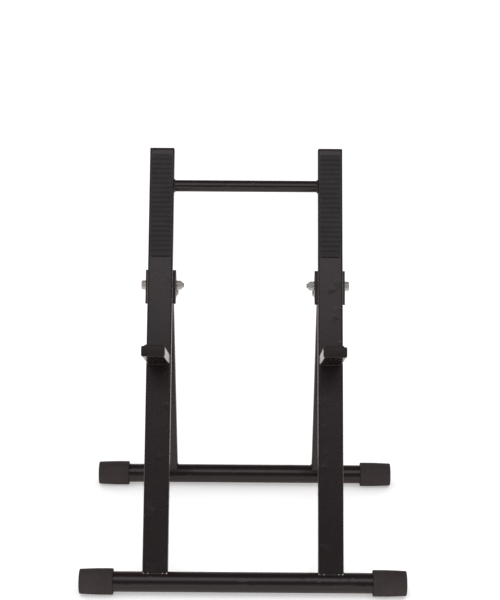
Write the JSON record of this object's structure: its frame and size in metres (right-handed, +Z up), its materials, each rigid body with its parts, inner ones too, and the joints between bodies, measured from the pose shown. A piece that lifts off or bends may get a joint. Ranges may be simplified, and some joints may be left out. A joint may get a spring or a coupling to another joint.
{
  "type": "folding amp stand",
  "caption": "Folding tilt-back stand: leaning front frame with support arms, pivoting rear frame, round foot bars and rubber foot caps.",
  "frame": {"origin": "on the floor, under the middle of the open stand's bounding box", "axes": "+Z up, +Y to the rear, +X to the right of someone facing the stand"},
  "size_m": [0.512, 0.4198, 0.6054],
  "materials": {
    "frame_paint": "satin black powder coat with slight orange peel",
    "foot_rubber": "matt black moulded rubber",
    "pad_rubber": "matt black rubber sheet, lightly ribbed",
    "plug_plastic": "fine-grained black moulded plastic",
    "zinc_steel": "bright zinc plate",
    "bush_nylon": "natural nylon"
  },
  "bodies": {
    "front_frame": {"front_foot_bar": "frame_paint", "front_foot_cap_left": "foot_rubber", "front_foot_cap_right": "foot_rubber", "front_leg_left": "frame_paint", "front_leg_right": "frame_paint", "support_arm_left": "frame_paint", "support_arm_right": "frame_paint", "arm_end_plug_left": "plug_plastic", "arm_end_plug_right": "plug_plastic", "arm_pad_left": "pad_rubber", "arm_pad_right": "pad_rubber", "back_pad_left": "pad_rubber", "back_pad_right": "pad_rubber", "leg_top_plug_left": "plug_plastic", "leg_top_plug_right": "plug_plastic", "backrest_cross_tube": "frame_paint", "pivot_bracket_left": "frame_paint", "pivot_bracket_right": "frame_paint", "pivot_bolt_left": "zinc_steel", "pivot_bolt_right": "zinc_steel", "pivot_nut_left": "zinc_steel", "pivot_nut_right": "zinc_steel", "pivot_washer_outer_left": "zinc_steel", "pivot_washer_outer_right": "zinc_steel", "pivot_washer_inner_left": "zinc_steel", "pivot_washer_inner_right": "zinc_steel", "pivot_sleeve_left": "zinc_steel", "pivot_sleeve_right": "zinc_steel", "stop_pin_left": "zinc_steel", "stop_pin_right": "zinc_steel"},
    "rear_frame": {"rear_foot_bar": "frame_paint", "rear_foot_cap_left": "foot_rubber", "rear_foot_cap_right": "foot_rubber", "rear_leg_left": "frame_paint", "rear_leg_right": "frame_paint", "pivot_bush_outer_left": "bush_nylon", "pivot_bush_outer_right": "bush_nylon", "pivot_bush_inner_left": "bush_nylon", "pivot_bush_inner_right": "bush_nylon"}
  },
  "joints": [
    {"name": "rear_frame_fold", "type": "hinge", "parent": "front_frame", "child": "rear_frame", "pos_m": [0, 0.10256, 0.39966], "axis": [-1, 0, 0], "range_deg": [0, 40.9]}
  ]
}
